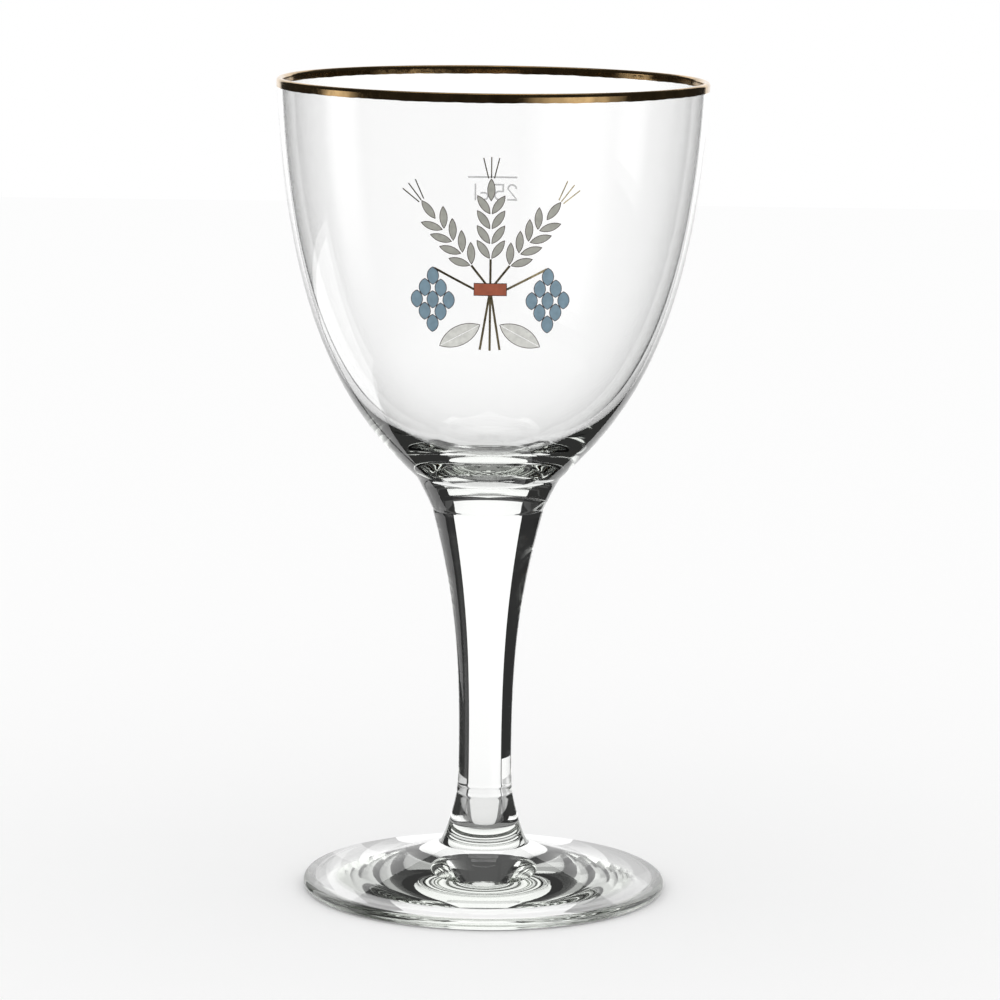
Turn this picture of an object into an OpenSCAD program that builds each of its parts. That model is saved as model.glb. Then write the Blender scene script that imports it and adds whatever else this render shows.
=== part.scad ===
// Chalice beer glass: a blown bowl, a drawn stem and a pressed foot, welded end to end,
// with a gilded lip, a fired-on enamel emblem in front and a capacity mark at the back.
// Millimetres, +Z up. The origin is on the table at the middle of the foot, and the emblem faces -Y.

/* [Foot] */
// Diameter over the foot's rounded edge
foot_d = 84; // [70:1:100]
// Thickness of the foot at its edge
foot_edge_t = 2.8; // [2:0.1:4]
// Rise of the foot's top from its edge to the cove
foot_rise = 7.8; // [5:0.1:9]
// Diameter at which the cove leaves the foot's top
cove_d = 21; // [19:1:30]
// Height of the weld between foot and stem
foot_h = 22.5; // [18:0.5:30]
// Width of the flat ring that the foot stands on
seat_w = 2; // [1.5:0.1:5]
// Depth of the flat hollow inside that ring
hollow_depth = 2.2; // [1:0.1:3.5]

/* [Stem] */
// Length of the stem from weld to weld
stem_h = 66.9; // [50:0.1:85]
// Diameter of the weld between foot and stem
foot_weld_d = 13.1; // [12:0.1:16]
// Narrowest diameter of the stem
stem_d = 12.3; // [9:0.1:13]
// Height of the narrowest place above the lower weld
waist_h = 11; // [8:0.5:16]
// Diameter of the weld between stem and bowl
bowl_weld_d = 25.8; // [22:0.1:28]

/* [Bowl] */
// Height of the bowl from its weld to the lip
bowl_h = 98.6; // [85:0.1:120]
// Diameter over the lip
rim_d = 98.2; // [84:0.2:112]
// Diameter of the notch where the bowl's curve meets its heel
heel_d = 32.7; // [30:0.1:38]
// Height of that notch above the weld
heel_h = 7.1; // [5:0.1:10]
// Thickness of the lip and of the wall under it
lip_t = 1.3; // [0.9:0.1:2.2]
// Solid glass from the weld to the bottom of the cup
base_t = 9.6; // [8:0.1:14]

/* [Lip gilding] */
// Depth of the gold band outside, from the top of the lip
gilding_out_h = 1.9; // [1.2:0.1:5]
// Depth of the gold band inside, from the top of the lip
gilding_in_h = 1.5; // [1.2:0.1:5]
// Thickness of the gold band and of the enamel
film_t = 0.15; // [0.1:0.05:0.3]

/* [Emblem] */
// Distance from the top of the lip down to the sheaf's tie
tie_drop = 43; // [36:0.5:50]
// Width of the tie
tie_w = 7; // [5:0.2:9]
// Height of the tie
tie_h = 2.6; // [1.6:0.1:4]
// Distance from the tie to the first grains of an ear
ear_base = 9; // [8.5:0.1:11]
// Length of a barley grain
grain_l = 4.6; // [3:0.1:5.2]
// Width of a barley grain
grain_w = 1.5; // [1:0.1:1.5]
// Spacing of the grains along an ear
grain_pitch = 3.3; // [3.3:0.1:4.5]
// Length of the bristles over an ear
awn_l = 4.6; // [2:0.1:8]
// Distance of each hop from the middle line
hop_x = 12.6; // [10:0.1:16]
// Distance of each hop's middle below the tie
hop_drop = 2.6; // [0:0.1:6]
// Length of a hop scale
scale_l = 3.8; // [3:0.1:4]
// Width of a hop scale
scale_w = 2.4; // [1.8:0.1:2.5]
// Spacing of the hop scales across a row
scale_pitch = 3.5; // [3.4:0.1:4]
// Spacing of the rows of hop scales
row_pitch = 2.7; // [2.6:0.1:3.4]
// Length of a leaf
leaf_l = 10; // [7:0.2:13]
// Width of a leaf
leaf_w = 4.2; // [3:0.1:6]
// Distance of each leaf's middle from the middle line
leaf_x = 6.6; // [5:0.1:10]
// Distance of each leaf's middle below the tie
leaf_drop = 10.6; // [8:0.1:14]
// Length of the straws below the tie
straw_l = 14; // [10:0.5:18]
// Width of the straws and of the bines
straw_w = 0.5; // [0.3:0.05:0.9]
// Width of the bristles
awn_w = 0.25; // [0.15:0.05:0.5]
// Width of the dark outline
outline_w = 0.14; // [0.08:0.02:0.16]
// Clear glass between a line and what it leads to
line_gap = 0.3; // [0.2:0.05:0.6]

/* [Capacity mark] */
// Distance from the top of the lip down to the fill line
fill_drop = 26.7; // [15:0.1:40]
// Length of the fill line
fill_line_w = 12; // [6:0.5:20]
// Height of the figures
figure_h = 4; // [3:0.1:6]
// Gap between the fill line and the figures
figure_gap = 1.6; // [1:0.1:4]
// Spacing of the figures
figure_pitch = 3.2; // [2.8:0.1:5]
// Width of the line and of the figures' strokes
stroke_w = 0.4; // [0.2:0.05:0.6]

/* [Hidden] */
$fn = 96;

// Steps along the curves
long_steps = 40;
short_steps = 12;

// Shape of the curves, as shares of the spans between their ends
stem_top_shares = [0.2, 0.64];
stem_waist_share = 0.4;
stem_low_share = 0.38;
neck_share = 0.6;
cove_share = 0.3;
heel_bend_share = 0.36;
heel_lean_shares = [0.4, 0.5];
bowl_low_shares = [0.375, 0.132];
bowl_high_shares = [0.925, 0.318];
cup_low_share = 0.85;

// Power of the hollow's curve: the higher, the flatter its middle
hollow_power = 6;

// Named points of the profile, as [radius, height]
foot_weld = [foot_weld_d / 2, foot_h];
waist = [stem_d / 2, foot_h + waist_h];
bowl_weld = [bowl_weld_d / 2, foot_h + stem_h];
heel = [heel_d / 2, bowl_weld.y + heel_h];
heel_bend_h = heel_bend_share * heel_h;
glass_h = bowl_weld.y + bowl_h;
lip_r = lip_t / 2;
rim = [rim_d / 2, glass_h - lip_r];
lip_middle = rim - [lip_r, 0];
cup_bottom = [0, bowl_weld.y + base_t];

// Foot: half-round edge, then a straight slope up to the cove
edge_r = foot_edge_t / 2;
edge_middle = [foot_d / 2 - edge_r, edge_r];
cove = [cove_d / 2, foot_edge_t + foot_rise];
slope_angle = atan2(foot_rise, edge_middle.x - cove.x);
slope_dir = [-cos(slope_angle), sin(slope_angle)];
seat_inner_r = edge_middle.x - seat_w;

// Control points of the curves. The foot's neck uses the stem's lower one too, so its outline runs on through the weld
stem_low_ctrl = [waist.x, foot_weld.y + stem_low_share * waist_h];
stem_top_ctrl = [for (i = [0, 1]) waist[i] + stem_top_shares[i] * (bowl_weld[i] - waist[i])];
bowl_low_ctrl = [for (i = [0, 1]) heel[i] + bowl_low_shares[i] * (rim[i] - heel[i])];
bowl_high_ctrl = [for (i = [0, 1]) heel[i] + bowl_high_shares[i] * (rim[i] - heel[i])];

// Emblem layout
emblem_z = glass_h - tie_drop;
ear_angles = [-38, 0, 38];
awn_angles = [-14, 0, 14];
straw_angles = [-9, 0, 9];
grain_rows = 4;
grain_tilt = 35;
grain_out = grain_l / 2 * sin(grain_tilt) + line_gap;
hop_rows = [1, 2, 3, 2, 1];
leaf_tilt = 60;
ear_top = ear_base + grain_rows * grain_pitch;
ear_foot = ear_base - grain_l / 2 * cos(grain_tilt) - line_gap;
hop_top = (len(hop_rows) - 1) / 2 * row_pitch + scale_l / 2 - hop_drop;

// Capacity mark layout
fill_z = glass_h - fill_drop;
figure_r_share = 0.3;
letter_r_share = 0.25;
figure_slot_shares = [-1.5, -0.5, 0.6, 1.3];
figure_r = figure_r_share * figure_h;
letter_r = letter_r_share * figure_h;
figure_z = fill_z - figure_gap - figure_h;

// Overrun of the cutting shapes
over = 1;

function bezier(p, steps) = [
    for (i = [0:steps]) let (t = i / steps, s = 1 - t)
        s * s * s * p[0] + 3 * s * s * t * p[1] + 3 * s * t * t * p[2] + t * t * t * p[3]
];
function tail(list) = [for (i = [1:len(list) - 1]) list[i]];
function flipped(list) = [for (i = [len(list) - 1:-1:0]) list[i]];
function arc(middle, r, from, to, steps) = [
    for (i = [0:steps]) let (a = from + (to - from) * i / steps) middle + r * [cos(a), sin(a)]
];
function pushed_out(list, by) = [for (p = list) p + [by, 0]];

// Curves of the profile, each listed upwards or along the lip
hollow_curve = [
    for (i = [0:short_steps]) let (s = sqrt(i / short_steps))
        [seat_inner_r * s, hollow_depth * (1 - pow(s, hollow_power))]
];
edge_curve = arc(edge_middle, edge_r, -90, 90 - slope_angle, short_steps);
neck_curve = bezier([
    cove,
    cove + cove_share * (cove.x - foot_weld.x) * slope_dir,
    foot_weld + neck_share * (foot_weld - stem_low_ctrl),
    foot_weld,
], short_steps);
stem_low_curve = bezier([
    foot_weld, stem_low_ctrl, waist - [0, stem_low_share * waist_h], waist
], short_steps);
stem_top_curve = bezier([
    waist, waist + [0, stem_waist_share * (bowl_weld.y - waist.y)], stem_top_ctrl, bowl_weld
], long_steps);
heel_curve = bezier([
    bowl_weld,
    bowl_weld + [heel_lean_shares[0] * heel_bend_h, heel_bend_h],
    heel - [heel_lean_shares[1] * heel_bend_h, heel_bend_h],
    heel,
], short_steps);
outer_curve = bezier([heel, bowl_low_ctrl, bowl_high_ctrl, rim], long_steps);
lip_curve = arc(lip_middle, lip_r, 0, 180, short_steps);
inner_curve = bezier([
    rim - [lip_t, 0],
    bowl_high_ctrl - [lip_t, 0],
    [cup_low_share * bowl_low_ctrl.x, cup_bottom.y],
    cup_bottom,
], long_steps);

// Pointed oval of length l and width w, grown all round by grow
module pointed_oval(l, w, grow = 0) {
    r = (l * l + w * w) / (4 * w);
    intersection() {
        translate([r - w / 2, 0]) circle(r + grow);
        translate([w / 2 - r, 0]) circle(r + grow);
    }
}

// The same oval as a filled mark, or only the line around it
module mark(l, w, as_line) {
    difference() {
        pointed_oval(l, w, as_line ? outline_w : 0);
        if (as_line) pointed_oval(l, w);
    }
}

module ear(as_line) {
    for (i = [0:grain_rows - 1], side = [-1, 1])
        translate([side * grain_out, ear_base + i * grain_pitch])
            rotate(-side * grain_tilt)
                mark(grain_l, grain_w, as_line);
    translate([0, ear_top]) mark(grain_l, grain_w, as_line);
}

module grains(as_line = false) {
    for (a = ear_angles)
        rotate(a) ear(as_line);
}

module hop(as_line) {
    for (row = [0:len(hop_rows) - 1], k = [0:hop_rows[row] - 1])
        translate([
            (k - (hop_rows[row] - 1) / 2) * scale_pitch,
            (row - (len(hop_rows) - 1) / 2) * row_pitch,
        ])
            mark(scale_l, scale_w, as_line);
}

module hops(as_line = false) {
    for (side = [-1, 1])
        translate([side * hop_x, -hop_drop]) hop(as_line);
}

module leaf_places() {
    for (side = [-1, 1])
        translate([side * leaf_x, -leaf_drop])
            rotate(side * leaf_tilt)
                children();
}

module leaves(as_line = false) {
    leaf_places() mark(leaf_l, leaf_w, as_line);
}

module midribs() {
    leaf_places() square([outline_w, leaf_l], center = true);
}

module tie_band(grow = 0) {
    square([tie_w + 2 * grow, tie_h + 2 * grow], center = true);
}

// Straight line of the given width, rising from one height to another
module rising_line(w, from, to) {
    translate([-w / 2, from]) square([w, to - from]);
}

module straws() {
    for (a = straw_angles)
        rotate(180 + a) rising_line(straw_w, 0, straw_l);
    for (a = ear_angles)
        rotate(a) rising_line(straw_w, 0, ear_foot);
}

module bines() {
    reach = [hop_x - tie_w / 2, hop_top];
    for (side = [-1, 1])
        translate([side * tie_w / 2, 0])
            rotate(-side * atan2(reach.x, reach.y))
                rising_line(straw_w, 0, norm(reach) - line_gap);
}

module awns() {
    awn_foot = grain_l / 2 + line_gap;
    for (a = ear_angles)
        rotate(a)
            translate([0, ear_top])
                for (b = awn_angles)
                    rotate(b) rising_line(awn_w, awn_foot, awn_foot + awn_l);
}

// Thin coat that follows the bowl's outer curve
module outer_coat() {
    rotate_extrude()
        polygon(concat(pushed_out(outer_curve, film_t), flipped(outer_curve)));
}

// Drawing in the front plane, laid on the bowl's outside
module printed(z) {
    intersection() {
        outer_coat();
        translate([0, 0, z])
            rotate([90, 0, 0])
                linear_extrude(rim_d)
                    children();
    }
}

module ring_stroke(r) {
    difference() {
        circle(r);
        circle(r - stroke_w);
    }
}

module figure_place(slot) {
    translate([figure_slot_shares[slot] * figure_pitch, 0]) children();
}

module figure_two() {
    translate([0, figure_h - figure_r])
        intersection() {
            ring_stroke(figure_r);
            translate([-figure_r, 0]) square([2 * figure_r, figure_r]);
        }
    polygon([
        [figure_r - stroke_w, figure_h - figure_r],
        [figure_r, figure_h - figure_r],
        [stroke_w - figure_r, stroke_w],
        [-figure_r, stroke_w],
    ]);
    translate([-figure_r, 0]) square([2 * figure_r, stroke_w]);
}

module figure_five() {
    translate([-figure_r, figure_h - stroke_w]) square([2 * figure_r, stroke_w]);
    translate([-figure_r, 2 * figure_r - stroke_w]) square([stroke_w, figure_h - 2 * figure_r + stroke_w]);
    translate([-figure_r, 2 * figure_r - stroke_w]) square([figure_r, stroke_w]);
    translate([0, figure_r])
        intersection() {
            ring_stroke(figure_r);
            translate([0, -figure_r]) square([figure_r, 2 * figure_r]);
        }
    translate([-figure_r, 0]) square([figure_r, stroke_w]);
}

module letter_c() {
    translate([0, letter_r])
        intersection() {
            ring_stroke(letter_r);
            translate([-letter_r, -letter_r]) square([letter_r, 2 * letter_r]);
        }
    square([letter_r, stroke_w]);
    translate([0, 2 * letter_r - stroke_w]) square([letter_r, stroke_w]);
}

module letter_l() {
    translate([-stroke_w / 2, 0]) square([stroke_w, figure_h]);
}

module bowl() {
    color("lightcyan")
        rotate_extrude()
            polygon(concat(
                [[0, bowl_weld.y]],
                heel_curve,
                tail(outer_curve),
                tail(lip_curve),
                tail(inner_curve)
            ));
}

module stem() {
    color("lightblue")
        rotate_extrude()
            polygon(concat(
                [[0, foot_weld.y]],
                stem_low_curve,
                tail(stem_top_curve),
                [[0, bowl_weld.y]]
            ));
}

module foot() {
    color("lightcyan")
        rotate_extrude()
            polygon(concat(
                hollow_curve,
                edge_curve,
                neck_curve,
                [[0, foot_weld.y]]
            ));
}

module rim_gilding() {
    band_w = lip_r + film_t + over;
    color("darkgoldenrod")
        rotate_extrude()
            intersection() {
                polygon(concat(
                    pushed_out(outer_curve, film_t),
                    tail(arc(lip_middle, lip_r + film_t, 0, 180, short_steps)),
                    tail(pushed_out(inner_curve, -film_t)),
                    flipped(inner_curve),
                    tail(flipped(lip_curve)),
                    tail(flipped(outer_curve))
                ));
                union() {
                    translate([lip_middle.x, glass_h - gilding_out_h])
                        square([band_w, gilding_out_h + over]);
                    translate([lip_middle.x - band_w, glass_h - gilding_in_h])
                        square([band_w, gilding_in_h + over]);
                }
            }
}

module emblem_grain() {
    color("darkgray") printed(emblem_z) grains();
}

module emblem_hop() {
    color("slategray") printed(emblem_z) hops();
}

module emblem_leaf() {
    color("gainsboro")
        printed(emblem_z)
            difference() {
                leaves();
                midribs();
            }
}

module emblem_tie() {
    color("sienna") printed(emblem_z) tie_band();
}

module emblem_outline() {
    color("black")
        printed(emblem_z) {
            grains(as_line = true);
            hops(as_line = true);
            leaves(as_line = true);
            difference() {
                tie_band(outline_w);
                tie_band();
            }
        }
}

module emblem_lustre() {
    color("goldenrod")
        printed(emblem_z) {
            difference() {
                union() {
                    straws();
                    bines();
                }
                tie_band(outline_w);
            }
            awns();
        }
}

module fill_line() {
    color("whitesmoke")
        rotate(180)
            printed(fill_z)
                square([fill_line_w, stroke_w], center = true);
}

module capacity_figure() {
    color("whitesmoke")
        rotate(180)
            printed(figure_z) {
                figure_place(0) figure_two();
                figure_place(1) figure_five();
                figure_place(2) letter_c();
                figure_place(3) letter_l();
            }
}

bowl();
stem();
foot();
rim_gilding();
emblem_grain();
emblem_hop();
emblem_leaf();
emblem_tie();
emblem_outline();
emblem_lustre();
fill_line();
capacity_figure();
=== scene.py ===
import math

import bpy
import numpy as np
from mathutils import Matrix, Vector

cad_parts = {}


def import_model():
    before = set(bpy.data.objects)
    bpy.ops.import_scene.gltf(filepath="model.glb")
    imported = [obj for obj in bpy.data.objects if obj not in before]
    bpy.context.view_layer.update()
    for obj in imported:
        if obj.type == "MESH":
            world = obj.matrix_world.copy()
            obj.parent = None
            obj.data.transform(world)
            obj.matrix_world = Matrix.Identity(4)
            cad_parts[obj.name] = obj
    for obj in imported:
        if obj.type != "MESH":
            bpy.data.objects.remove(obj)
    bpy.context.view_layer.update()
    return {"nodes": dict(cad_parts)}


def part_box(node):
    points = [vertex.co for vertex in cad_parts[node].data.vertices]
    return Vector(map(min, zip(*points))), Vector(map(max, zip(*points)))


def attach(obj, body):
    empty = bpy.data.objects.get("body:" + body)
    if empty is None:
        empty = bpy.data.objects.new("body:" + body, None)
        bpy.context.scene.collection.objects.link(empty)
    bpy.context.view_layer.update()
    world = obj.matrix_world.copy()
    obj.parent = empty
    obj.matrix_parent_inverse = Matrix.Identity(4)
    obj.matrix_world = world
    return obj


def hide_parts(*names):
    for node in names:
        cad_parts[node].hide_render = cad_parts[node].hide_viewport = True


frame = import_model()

# Looks of the chalice beer glass. Metres, in the frame's own axes: +Z up, the emblem faces -Y.
NODES = frame["nodes"]
MM = 0.001

# Sizes read from the frame
FOOT_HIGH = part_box("foot")[1]
STEM_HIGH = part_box("stem")[1]
BOWL_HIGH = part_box("bowl")[1]
GILT_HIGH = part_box("rim_gilding")[1]
FOOT_R = FOOT_HIGH.x
GLASS_H = BOWL_HIGH.z
FILM_T = GILT_HIGH.z - GLASS_H

# Sizes of the profile that the boxes don't give
EDGE_T = 2.8 * MM
FOOT_RISE = 7.8 * MM
COVE_R = 10.5 * MM
SEAT_W = 2 * MM
HOLLOW_DEPTH = 2.2 * MM
FOOT_WELD_R = 6.55 * MM
WAIST_R = 6.15 * MM
WAIST_H = 11 * MM
HEEL_R = 16.35 * MM
HEEL_H = 7.1 * MM
LIP_T = 1.3 * MM
BASE_T = 9.6 * MM
GILT_OUT_H = 1.9 * MM
GILT_IN_H = 1.5 * MM

# Shape of the curves, as shares of the spans between their ends
STEM_TOP_SHARES = (0.2, 0.64)
STEM_WAIST_SHARE = 0.4
STEM_LOW_SHARE = 0.38
NECK_SHARE = 0.6
COVE_SHARE = 0.3
HEEL_BEND_SHARE = 0.36
HEEL_LEAN_SHARES = (0.4, 0.5)
BOWL_LOW_SHARES = (0.375, 0.132)
BOWL_HIGH_SHARES = (0.925, 0.318)
CUP_LOW_SHARE = 0.85

# Power of the hollow's curve: the higher, the flatter its middle
HOLLOW_POWER = 6

# Named points of the profile, as (radius, height)
FOOT_WELD = np.array((FOOT_WELD_R, FOOT_HIGH.z))
WAIST = np.array((WAIST_R, FOOT_HIGH.z + WAIST_H))
BOWL_WELD = np.array((STEM_HIGH.x, STEM_HIGH.z))
HEEL = np.array((HEEL_R, BOWL_WELD[1] + HEEL_H))
LIP_R = LIP_T / 2
RIM = np.array((BOWL_HIGH.x, GLASS_H - LIP_R))
CUP_BOTTOM = np.array((0, BOWL_WELD[1] + BASE_T))
STEM_LOW_CTRL = np.array((WAIST_R, FOOT_WELD[1] + STEM_LOW_SHARE * WAIST_H))
STEM_TOP_CTRL = WAIST + np.array(STEM_TOP_SHARES) * (BOWL_WELD - WAIST)
BOWL_LOW_CTRL = HEEL + np.array(BOWL_LOW_SHARES) * (RIM - HEEL)
BOWL_HIGH_CTRL = HEEL + np.array(BOWL_HIGH_SHARES) * (RIM - HEEL)

# Fineness of the meshes
TURN_STEPS = 256
LONG_STEPS = 120
SHORT_STEPS = 32
LIP_STEPS = 16
DISC_STEPS = 6

# Fine points that each step of a gathered curve is picked from, and how many groove widths off the
# groove its steps begin to spread
PICK_STEPS = 40
GATHER_WIDTHS = 2

# Bend in degrees over which an edge is shown sharp, and the radius under which a point is taken to
# lie on the axis
SHARP_ANGLE = 30
ON_AXIS = 1e-6 * MM

# The welds: a hair of a gap between the pieces, and a shallow groove round each
WELD_GAP = 0.01 * MM
GROOVE_DEPTH = 0.09 * MM
GROOVE_W = 0.45 * MM

# How far each way the fire has rounded the notch over the heel
NOTCH_REACH = 1.3 * MM


def bezier(points, steps):
    p = np.array(points, float)
    t = np.linspace(0, 1, steps + 1)[:, None]
    s = 1 - t
    return s**3 * p[0] + 3 * s * s * t * p[1] + 3 * s * t * t * p[2] + t**3 * p[3]


def arc(middle, r, start, end, steps):
    a = np.radians(np.linspace(start, end, steps + 1))
    return np.array(middle) + r * np.stack([np.cos(a), np.sin(a)], -1)


def up_by(dz):
    return np.array((0, dz))


def out_by(dr):
    return np.array((dr, 0))


def grooved(curve, at, depth, width):
    """The curve with a groove round it at one height."""
    dip = depth * np.exp(-(((curve[:, 1] - at[1]) / width) ** 2))
    return curve - np.stack([dip, np.zeros_like(dip)], -1)


def near_end(curve_points, at, width, steps):
    """A Bezier curve with its steps gathered towards the groove, so that the groove is smooth."""
    fine = bezier(curve_points, steps * PICK_STEPS)
    reach = np.abs(fine[:, 1] - at[1])
    weight = np.concatenate([[0], np.cumsum(1 / (reach[1:] + GATHER_WIDTHS * width))])
    picks = np.interp(np.linspace(0, weight[-1], steps + 1), weight, np.arange(len(fine)))
    return fine[np.round(picks).astype(int)]


def rounded(curve, corner, reach):
    """The curve with its corner rounded over the reach each way."""
    away = np.linalg.norm(curve - corner, axis=1)
    at = int(np.argmin(away))
    low, high = curve[:at][away[:at] > reach], curve[at:][away[at:] > reach]
    t = np.linspace(0, 1, SHORT_STEPS)[1:-1, None]
    bend = (1 - t) ** 2 * low[-1] + 2 * t * (1 - t) * corner + t * t * high[0]
    return np.concatenate([low, bend, high])


def disc(r, z, inwards):
    """Points from the axis to radius r at one height, or back."""
    radii = np.linspace(0, r, DISC_STEPS + 1)[:-1]
    radii = radii[::-1] if inwards else radii
    return np.stack([radii, np.full_like(radii, z)], -1)


def lathe(name, parts):
    """Closed piece turned about the axis. parts lists (points, is_weld) from the bottom of the axis
    round the outside to its top. The level faces of a weld part are marked as weld."""
    points = np.concatenate([p for p, _ in parts])
    flags = np.concatenate([np.full(len(p), w) for p, w in parts])
    verts, rings, faces, welded = [], [], [], []
    turn = np.linspace(0, 2 * math.pi, TURN_STEPS, endpoint=False)
    for r, z in points:
        start = len(verts)
        if r < ON_AXIS:
            rings.append([start])
            verts.append((0, 0, z))
        else:
            rings.append(list(range(start, start + TURN_STEPS)))
            verts += [(r * math.cos(a), r * math.sin(a), z) for a in turn]
    for i in range(len(rings) - 1):
        low, high = rings[i], rings[i + 1]
        level = abs(points[i][1] - points[i + 1][1]) < WELD_GAP
        weld = float(level and (flags[i] or flags[i + 1]))
        for k in range(TURN_STEPS):
            n = (k + 1) % TURN_STEPS
            if len(low) == 1:
                faces.append((low[0], high[n], high[k]))
            elif len(high) == 1:
                faces.append((low[k], low[n], high[0]))
            else:
                faces.append((low[k], low[n], high[n], high[k]))
            welded.append(weld)
    mesh = bpy.data.meshes.new(name)
    mesh.from_pydata(verts, [], faces)
    mesh.attributes.new("weld", "FLOAT", "FACE").data.foreach_set("value", welded)
    return shown(name, mesh)


def shown(name, mesh):
    mesh.polygons.foreach_set("use_smooth", [True] * len(mesh.polygons))
    mesh.set_sharp_from_angle(angle=math.radians(SHARP_ANGLE))
    mesh.update()
    piece = bpy.data.objects.new(name, mesh)
    bpy.context.scene.collection.objects.link(piece)
    return piece


def placed(piece, material, slot, *nodes):
    piece.data.materials.append(material)
    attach(piece, "root")
    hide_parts(*nodes)
    return piece


# Glass pieces
def foot_piece():
    edge_r = EDGE_T / 2
    edge_middle = np.array((FOOT_R - edge_r, edge_r))
    cove = np.array((COVE_R, EDGE_T + FOOT_RISE))
    slope = math.atan2(FOOT_RISE, edge_middle[0] - COVE_R)
    slope_dir = np.array((-math.cos(slope), math.sin(slope)))
    s = np.linspace(0, 1, SHORT_STEPS + 1)
    hollow = np.stack([(edge_middle[0] - SEAT_W) * s, HOLLOW_DEPTH * (1 - s**HOLLOW_POWER)], -1)
    edge = arc(edge_middle, edge_r, -90, 90 - math.degrees(slope), SHORT_STEPS)
    neck = near_end([
        cove,
        cove + COVE_SHARE * (COVE_R - FOOT_WELD_R) * slope_dir,
        FOOT_WELD + NECK_SHARE * (FOOT_WELD - STEM_LOW_CTRL),
        FOOT_WELD,
    ], FOOT_WELD, GROOVE_W, LONG_STEPS)
    neck = grooved(neck, FOOT_WELD, GROOVE_DEPTH, GROOVE_W)
    return lathe("clear_foot", [
        (hollow, False), (edge, False), (neck, False),
        (disc(neck[-1][0], neck[-1][1], inwards=True), True),
    ])


def stem_piece():
    low = near_end([
        FOOT_WELD, STEM_LOW_CTRL, WAIST - up_by(STEM_LOW_SHARE * WAIST_H), WAIST,
    ], FOOT_WELD, GROOVE_W, SHORT_STEPS)
    top = near_end([
        WAIST,
        WAIST + up_by(STEM_WAIST_SHARE * (BOWL_WELD[1] - WAIST[1])),
        STEM_TOP_CTRL,
        BOWL_WELD,
    ], BOWL_WELD, GROOVE_W, LONG_STEPS)
    side = np.concatenate([low, top[1:]])
    for weld in (FOOT_WELD, BOWL_WELD):
        side = grooved(side, weld, GROOVE_DEPTH, GROOVE_W)
    side[0] += up_by(WELD_GAP)
    side[-1] -= up_by(WELD_GAP)
    return lathe("clear_stem", [
        (disc(side[0][0], side[0][1], inwards=False), True), (side, False),
        (disc(side[-1][0], side[-1][1], inwards=True), True),
    ])


def outer_curve():
    return bezier([HEEL, BOWL_LOW_CTRL, BOWL_HIGH_CTRL, RIM], LONG_STEPS)


def inner_curve():
    return bezier([
        RIM - out_by(LIP_T),
        BOWL_HIGH_CTRL - out_by(LIP_T),
        (CUP_LOW_SHARE * BOWL_LOW_CTRL[0], CUP_BOTTOM[1]),
        CUP_BOTTOM,
    ], LONG_STEPS)


def bowl_piece():
    low_lean, top_lean = HEEL_LEAN_SHARES
    bend_h = HEEL_BEND_SHARE * HEEL_H
    heel = near_end([
        BOWL_WELD,
        BOWL_WELD + np.array((low_lean * bend_h, bend_h)),
        HEEL - np.array((top_lean * bend_h, bend_h)),
        HEEL,
    ], BOWL_WELD, GROOVE_W, LONG_STEPS)
    heel = grooved(heel, BOWL_WELD, GROOVE_DEPTH, GROOVE_W)
    side = rounded(np.concatenate([heel, outer_curve()[1:]]), HEEL, NOTCH_REACH)
    lip = arc(RIM - out_by(LIP_R), LIP_R, 0, 180, LIP_STEPS)
    return lathe("clear_bowl", [
        (disc(heel[0][0], heel[0][1], inwards=False), True), (side, False),
        (lip[1:], False), (inner_curve()[1:], False),
    ])


# Materials of the glass
BLACK, WHITE = (0, 0, 0, 1), (1, 1, 1, 1)
GLASS_IOR = 1.52
GLASS_TINT = (0.45, 0.7, 0.3, 1)
GLASS_DEPTH = 1.6
SEAT_WEAR = 0.35
SEAT_WEAR_H = 0.05 * MM

# Waves of each glass piece, as (waves in a metre, height)
BOWL_WAVES = (22, 0.012 * MM)
STEM_WAVES = (60, 0.003 * MM)
FOOT_WAVES = (45, 0.03 * MM)
WAVE_DETAIL = 1

# Where the middle of the noise lies
NOISE_LOW, NOISE_HIGH = 0.3, 0.7


def new_material(name):
    mat = bpy.data.materials.new(name)
    mat.use_nodes = True
    nodes, links = mat.node_tree.nodes, mat.node_tree.links
    return mat, nodes, links, nodes["Principled BSDF"]


def noise(nodes, links, scale, detail):
    """Noise over the surface, in the piece's own metres. scale is about the grains in a metre."""
    place = nodes.new("ShaderNodeTexCoord")
    grain = nodes.new("ShaderNodeTexNoise")
    grain.inputs["Scale"].default_value = scale
    grain.inputs["Detail"].default_value = detail
    links.new(place.outputs["Object"], grain.inputs["Vector"])
    return grain.outputs["Fac"]


def spanned(nodes, links, value, low, high):
    """The value with its usual middle stretched over low to high."""
    span = nodes.new("ShaderNodeMapRange")
    span.inputs["From Min"].default_value = NOISE_LOW
    span.inputs["From Max"].default_value = NOISE_HIGH
    span.inputs["To Min"].default_value = low
    span.inputs["To Max"].default_value = high
    links.new(value, span.inputs["Value"])
    return span.outputs["Result"]


def bumped(nodes, links, bsdf, height_value, height):
    bump = nodes.new("ShaderNodeBump")
    bump.inputs["Strength"].default_value = 1
    bump.inputs["Distance"].default_value = height
    links.new(height_value, bump.inputs["Height"])
    links.new(bump.outputs["Normal"], bsdf.inputs["Normal"])


def mottled(nodes, links, bsdf, value, colour, spread):
    """Base colour that wanders about the given one by a share of it."""
    ramp = nodes.new("ShaderNodeValToRGB")
    stops = zip(ramp.color_ramp.elements, (NOISE_LOW, NOISE_HIGH), (1 - spread, 1 + spread))
    for stop, place, share in stops:
        stop.position = place
        stop.color = [min(1, c * share) for c in colour[:3]] + [1]
    links.new(value, ramp.inputs["Fac"])
    links.new(ramp.outputs["Color"], bsdf.inputs["Base Color"])


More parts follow.
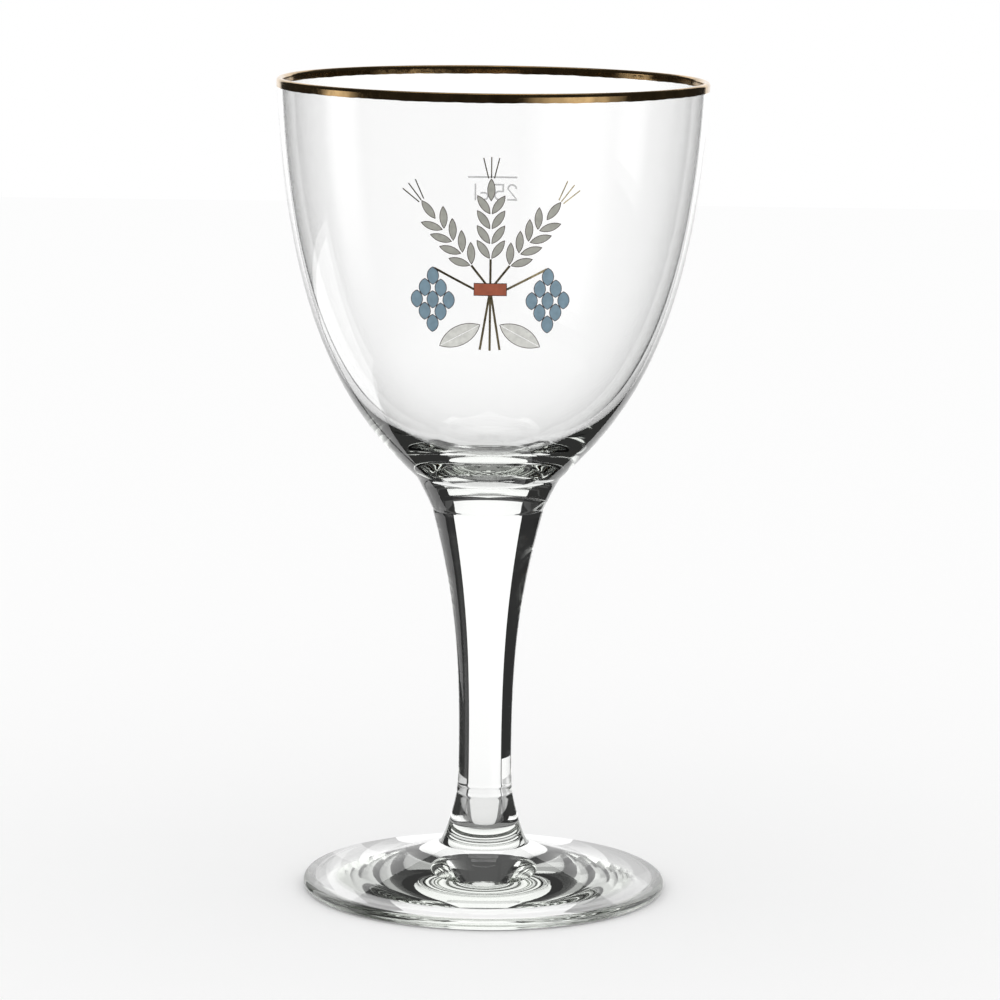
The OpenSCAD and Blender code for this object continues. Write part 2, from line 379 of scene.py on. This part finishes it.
def clear_glass(name, wave_scale, wave_height):
    """Soda-lime glass: faintly wavy, greenish where it is deep and scuffed where it stands.
    A weld face bends no light."""
    mat, nodes, links, bsdf = new_material(name)
    bsdf.inputs["Base Color"].default_value = WHITE
    bsdf.inputs["Transmission Weight"].default_value = 1
    weld = nodes.new("ShaderNodeAttribute")
    weld.attribute_name = "weld"
    ior = nodes.new("ShaderNodeMapRange")
    ior.inputs["To Min"].default_value = GLASS_IOR
    ior.inputs["To Max"].default_value = 1
    links.new(weld.outputs["Fac"], ior.inputs["Value"])
    links.new(ior.outputs["Result"], bsdf.inputs["IOR"])
    place = nodes.new("ShaderNodeTexCoord")
    height = nodes.new("ShaderNodeSeparateXYZ")
    links.new(place.outputs["Object"], height.inputs["Vector"])
    scuff = nodes.new("ShaderNodeMapRange")
    scuff.inputs["From Max"].default_value = SEAT_WEAR_H
    scuff.inputs["To Min"].default_value = SEAT_WEAR
    scuff.inputs["To Max"].default_value = 0
    links.new(height.outputs["Z"], scuff.inputs["Value"])
    links.new(scuff.outputs["Result"], bsdf.inputs["Roughness"])
    bumped(nodes, links, bsdf, noise(nodes, links, wave_scale, WAVE_DETAIL), wave_height)
    body = nodes.new("ShaderNodeVolumeAbsorption")
    body.inputs["Color"].default_value = GLASS_TINT
    body.inputs["Density"].default_value = GLASS_DEPTH
    links.new(body.outputs[0], nodes["Material Output"].inputs["Volume"])
    return mat


# Film pieces
GILT_STEPS = 8
GILT_TURN_STEPS = 2 * TURN_STEPS
GILT_SINK = 0.02 * MM
GILT_WANDER = 0.12 * MM
GILT_WAVES = (3, 7, 17, 41, 89)
OUT_PHASE, IN_PHASE = 1, 2


def hand_laid(turn, phase):
    """How far the brushed edge of the band strays at this turn."""
    waves = [math.sin(n * turn + phase * n * n) for n in GILT_WAVES]
    return GILT_WANDER * sum(waves) / len(waves)


def gilt_piece():
    """Gold band over the lip, sunk a little into the glass so that no face lies on another."""
    outer = outer_curve()
    inner = inner_curve()[::-1]
    lip_middle = RIM - out_by(LIP_R)
    verts, faces = [], []
    for turn in np.linspace(0, 2 * math.pi, GILT_TURN_STEPS, endpoint=False):
        out_low = GLASS_H - GILT_OUT_H + hand_laid(turn, OUT_PHASE)
        in_low = GLASS_H - GILT_IN_H + hand_laid(turn, IN_PHASE)
        out_z = np.linspace(out_low, RIM[1], GILT_STEPS)
        in_z = np.linspace(RIM[1], in_low, GILT_STEPS)
        out_side = np.stack([np.interp(out_z, outer[:, 1], outer[:, 0]), out_z], -1)
        in_side = np.stack([np.interp(in_z, inner[:, 1], inner[:, 0]), in_z], -1)
        loop = np.concatenate([
            out_side + out_by(FILM_T),
            arc(lip_middle, LIP_R + FILM_T, 0, 180, LIP_STEPS)[1:],
            (in_side - out_by(FILM_T))[1:],
            (in_side + out_by(GILT_SINK))[::-1],
            arc(lip_middle, LIP_R - GILT_SINK, 180, 0, LIP_STEPS)[1:],
            (out_side - out_by(GILT_SINK))[::-1][1:],
        ])
        verts += [(r * math.cos(turn), r * math.sin(turn), z) for r, z in loop]
    n = len(loop)
    for a in range(0, len(verts), n):
        b = (a + n) % len(verts)
        faces += [(a + i, b + i, b + (i + 1) % n, a + (i + 1) % n) for i in range(n)]
    mesh = bpy.data.meshes.new("gilt_lip")
    mesh.from_pydata(verts, [], faces)
    return shown("gilt_lip", mesh)


# Grain of the films, as (grains in a metre, detail)
GOLD_TONE, GOLD_GLOSS = (300, 3), (900, 4)
GOLD_TONE_SPREAD = 0.25
GOLD_WAVE_DETAIL = 2
ENAMEL_TONE, ENAMEL_GLOSS, ENAMEL_TOOTH = (900, 5), (2200, 3), (5200, 2)
ENAMEL_TONE_SPREAD = 0.12
ENAMEL_SMOOTH, ENAMEL_ROUGH = 0.28, 0.5
ENAMEL_TOOTH_H = 0.02 * MM


def gold(name, colour, smooth, rough, wave_scale, wave_height):
    """Fired gold: brushed on, so its tone, gloss and surface wander."""
    mat, nodes, links, bsdf = new_material(name)
    bsdf.inputs["Metallic"].default_value = 1
    mottled(nodes, links, bsdf, noise(nodes, links, *GOLD_TONE), colour, GOLD_TONE_SPREAD)
    gloss = spanned(nodes, links, noise(nodes, links, *GOLD_GLOSS), smooth, rough)
    links.new(gloss, bsdf.inputs["Roughness"])
    bumped(nodes, links, bsdf, noise(nodes, links, wave_scale, GOLD_WAVE_DETAIL), wave_height)
    return mat


def enamel(name, colour, cover=1):
    """Screen-printed enamel: a little mottled, glossy where it has run, with a fine tooth."""
    mat, nodes, links, bsdf = new_material(name)
    bsdf.inputs["Alpha"].default_value = cover
    mottled(nodes, links, bsdf, noise(nodes, links, *ENAMEL_TONE), colour, ENAMEL_TONE_SPREAD)
    grain = noise(nodes, links, *ENAMEL_GLOSS)
    gloss = spanned(nodes, links, grain, ENAMEL_SMOOTH, ENAMEL_ROUGH)
    links.new(gloss, bsdf.inputs["Roughness"])
    bumped(nodes, links, bsdf, noise(nodes, links, *ENAMEL_TOOTH), ENAMEL_TOOTH_H)
    return mat


# Colours of the prints
GREY = (0.38, 0.38, 0.34, 1)
BLUE = (0.2, 0.3, 0.37, 1)
OFF_WHITE = (0.7, 0.7, 0.66, 1)
TERRACOTTA = (0.38, 0.1, 0.05, 1)
DARK_BROWN = (0.045, 0.018, 0.013, 1)
MARK_GREY = (0.7, 0.7, 0.7, 1)
MARK_COVER = 0.3

# Gold of the lines and of the band, as (colour, roughness where it is smooth, roughness where it
# is rough, waves in a metre, their height)
LUSTRE_GOLD = ((0.6, 0.5, 0.3, 1), 0.2, 0.5, 700, 0.12 * MM)
BAND_GOLD = ((0.54, 0.36, 0.17, 1), 0.06, 0.2, 90, 0.06 * MM)


def dress_nodes():
    """Prints keep their CAD shape and get their enamels."""
    for node, mat in (
        ("emblem_grain", enamel("grey_enamel", GREY)),
        ("emblem_hop", enamel("blue_enamel", BLUE)),
        ("emblem_leaf", enamel("white_enamel", OFF_WHITE)),
        ("emblem_tie", enamel("terracotta_enamel", TERRACOTTA)),
        ("emblem_outline", enamel("dark_enamel", DARK_BROWN)),
        ("emblem_lustre", gold("lustre_line", *LUSTRE_GOLD)),
        ("fill_line", enamel("line_enamel", MARK_GREY, MARK_COVER)),
        ("capacity_figure", enamel("figure_enamel", MARK_GREY, MARK_COVER)),
    ):
        NODES[node].data.materials.clear()
        NODES[node].data.materials.append(mat)


# Studio: panels and cards that the glass and the gold mirror or show through, about the middle of
# the glass. Each is (turns, rises, radius, shade at its foot, shade at its top) and, for some, the
# share of its width over which each side fades out.
FAR, LOW = 2.0, 0.0475
CARD_STEPS = 12
CARDS = {
    "panel_back": ((-28, 28), (-9, 31), FAR, 1.13, 1.13),
    "panel_sweep": ((-28, 28), (-40, -9), FAR, 0.85, 1.13),
    "panel_table": ((-28, 28), (-78, -40), FAR, 0.8, 0.85),
    "panel_gap": ((-50, 50), (31, 60), FAR, 0.1, 0.1),
    "panel_top": ((-50, 50), (60, 90), FAR, 1, 1),
    "panel_side": ((-106, -77), (-11, 8), FAR, 1.1, 1.1, 0.3),
    "fade_side": ((-106, -77), (-32, -11), FAR, 0, 1.1, 0.3),
    "panel_front": ((105, 165), (-36, 2), FAR, 1.1, 1.1, 0.4),
    "panel_low": ((-70, -30), (-38, -15), FAR, 1.1, 1.1),
    "floor_front": ((90, 270), (-88, -40), FAR, 0.25, 0.25),
}

# Low cards close round the foot: the same, but about the middle of the foot
BOUNCES = {
    "bounce_right_a": ((27, 62), (-40, 14), LOW, 0.4, 0.65),
    "bounce_right_b": ((62, 82), (-40, 14), LOW, 0.45, 0.8),
    "bounce_right_c": ((82, 102), (-22, 20), LOW, 0.95, 0.95),
    "bounce_right_d": ((102, 126), (-22, 20), LOW, 1.5, 1.5),
    "bounce_left_a": ((-39, -27), (-40, 14), LOW, 0.4, 0.65),
    "bounce_left_b": ((-51, -39), (-40, 14), LOW, 0.7, 0.9),
    "bounce_left_c": ((-62, -51), (-40, 14), LOW, 0.4, 0.65),
    "bounce_left_d": ((-82, -62), (-40, 14), LOW, 0.45, 0.8),
    "bounce_left_e": ((-126, -98), (-22, 20), LOW, 1.4, 1.4),
}


def card(name, middle, turns, rises, radius, low, high, soft=0):
    """Curved card of the studio that only glass and metal see, about a point of the axis. turns and
    rises are degrees: the turn from +Y towards +X, and the rise above the horizon. It shades from
    low at its foot to high at its top, and soft is the share of its width that each side fades."""
    row = CARD_STEPS + 1
    verts, faces = [], []
    for turn in np.radians(np.linspace(*turns, row)):
        for rise in np.radians(np.linspace(*rises, row)):
            flat, up = radius * math.cos(rise), radius * math.sin(rise)
            verts.append((flat * math.sin(turn), flat * math.cos(turn), middle + up))
    for i in range(CARD_STEPS):
        for a in range(i * row, i * row + CARD_STEPS):
            faces.append((a, a + 1, a + row + 1, a + row))
    mesh = bpy.data.meshes.new(name)
    mesh.from_pydata(verts, [], faces)
    across = np.linspace(0, 1, row)
    from_side = np.minimum(across, 1 - across)
    sides = np.clip(from_side / soft, 0, 1) if soft else np.ones(row)
    shades = np.outer(sides, np.linspace(low, high, row)).ravel()
    mesh.attributes.new("shade", "FLOAT", "POINT").data.foreach_set("value", shades)
    mat, nodes, links, bsdf = new_material(name)
    bsdf.inputs["Base Color"].default_value = BLACK
    bsdf.inputs["Roughness"].default_value = 1
    bsdf.inputs["Specular IOR Level"].default_value = 0
    bsdf.inputs["Emission Color"].default_value = WHITE
    shade = nodes.new("ShaderNodeAttribute")
    shade.attribute_name = "shade"
    links.new(shade.outputs["Fac"], bsdf.inputs["Emission Strength"])
    mat.cycles.emission_sampling = "NONE"
    mesh.materials.append(mat)
    piece = bpy.data.objects.new(name, mesh)
    bpy.context.scene.collection.objects.link(piece)
    piece.visible_camera = piece.visible_diffuse = piece.visible_shadow = False


FLOOR_REACH = 1.7
FLOOR_Z = -0.05 * MM
FLOOR_SHADE = (0.9, 0.9, 0.9, 1)
FLOOR_LIFT = (0.08, 0.08, 0.08, 1)


def floor():
    """Pale floor that keeps the shadow. The camera sees it a little lifted, and the glass shows the
    panels instead."""
    corners = [(-1, -1), (1, -1), (1, 1), (-1, 1)]
    verts = [(FLOOR_REACH * x, FLOOR_REACH * y, FLOOR_Z) for x, y in corners]
    mesh = bpy.data.meshes.new("floor")
    mesh.from_pydata(verts, [], [(0, 1, 2, 3)])
    mat, nodes, links, bsdf = new_material("floor")
    bsdf.inputs["Base Color"].default_value = FLOOR_SHADE
    bsdf.inputs["Roughness"].default_value = 1
    bsdf.inputs["Specular IOR Level"].default_value = 0
    lift = nodes.new("ShaderNodeLightPath")
    bsdf.inputs["Emission Color"].default_value = FLOOR_LIFT
    links.new(lift.outputs["Is Camera Ray"], bsdf.inputs["Emission Strength"])
    mesh.materials.append(mat)
    piece = bpy.data.objects.new("floor", mesh)
    bpy.context.scene.collection.objects.link(piece)
    piece.visible_transmission = piece.visible_glossy = False


# How bright the dim room is that glass and metal see beside the panels
ROOM = 0.03


def world():
    """White for the camera and for the light on the prints, and a dim room for glass and metal."""
    sky = bpy.data.worlds.new("studio")
    bpy.context.scene.world = sky
    sky.use_nodes = True
    nodes, links = sky.node_tree.nodes, sky.node_tree.links
    back = nodes["Background"]
    back.inputs["Color"].default_value = WHITE
    path = nodes.new("ShaderNodeLightPath")
    clear = nodes.new("ShaderNodeMath")
    clear.operation = "MAXIMUM"
    links.new(path.outputs["Is Glossy Ray"], clear.inputs[0])
    links.new(path.outputs["Is Transmission Ray"], clear.inputs[1])
    level = nodes.new("ShaderNodeMapRange")
    level.inputs["To Min"].default_value = 1
    level.inputs["To Max"].default_value = ROOM
    links.new(clear.outputs[0], level.inputs["Value"])
    links.new(level.outputs["Result"], back.inputs["Strength"])


# The camera, fitted to the photograph: the height of the glass, the camera's place and the width of
# the picture in the photograph's pixels, the width of the sensor in mm, and the roll in degrees
GLASS_PX = 815.9
AWAY_PX, RISE_PX, ASIDE_PX = 4335, 1101, 11.71
PICTURE_PX = 1000
SENSOR_W = 36
LENS_SHIFT = -0.0117
CAMERA_ROLL = 0.74


def camera():
    """Camera at the photograph's angle, worked out for the height of the glass."""
    unit = GLASS_H / GLASS_PX
    away, rise, aside = AWAY_PX * unit, RISE_PX * unit, ASIDE_PX * unit
    pitch = math.atan2(rise - GLASS_H / 2, away)
    lens = bpy.data.cameras.new("camera")
    lens.sensor_width = SENSOR_W
    lens.lens = math.hypot(AWAY_PX, RISE_PX - GLASS_PX / 2) / PICTURE_PX * lens.sensor_width
    lens.shift_y = LENS_SHIFT
    view = bpy.data.objects.new("camera", lens)
    bpy.context.scene.collection.objects.link(view)
    view.matrix_world = (
        Matrix.Translation((aside, -away, rise))
        @ Matrix.Rotation(math.pi / 2 - pitch, 4, "X")
        @ Matrix.Rotation(math.radians(CAMERA_ROLL), 4, "Z")
    )
    bpy.context.scene.camera = view


# How often light may bend or bounce, as a solid stem needs many
PATH_BOUNCES, GLOSSY_BOUNCES = 32, 24


def settings():
    scene = bpy.context.scene
    scene.view_settings.view_transform = "Standard"
    scene.cycles.max_bounces = PATH_BOUNCES
    scene.cycles.transmission_bounces = PATH_BOUNCES
    scene.cycles.glossy_bounces = GLOSSY_BOUNCES
    scene.cycles.transparent_max_bounces = PATH_BOUNCES


camera()
world()
floor()
for cards, cards_middle in ((CARDS, GLASS_H / 2), (BOUNCES, 0)):
    for card_name, card_sizes in cards.items():
        card(card_name, cards_middle, *card_sizes)
placed(bowl_piece(), clear_glass("bowl_glass", *BOWL_WAVES), "bowl_glass", "bowl")
placed(stem_piece(), clear_glass("stem_glass", *STEM_WAVES), "stem_glass", "stem")
placed(foot_piece(), clear_glass("foot_glass", *FOOT_WAVES), "foot_glass", "foot")
placed(gilt_piece(), gold("gold_band", *BAND_GOLD), "gold_band", "rim_gilding")
dress_nodes()
settings()
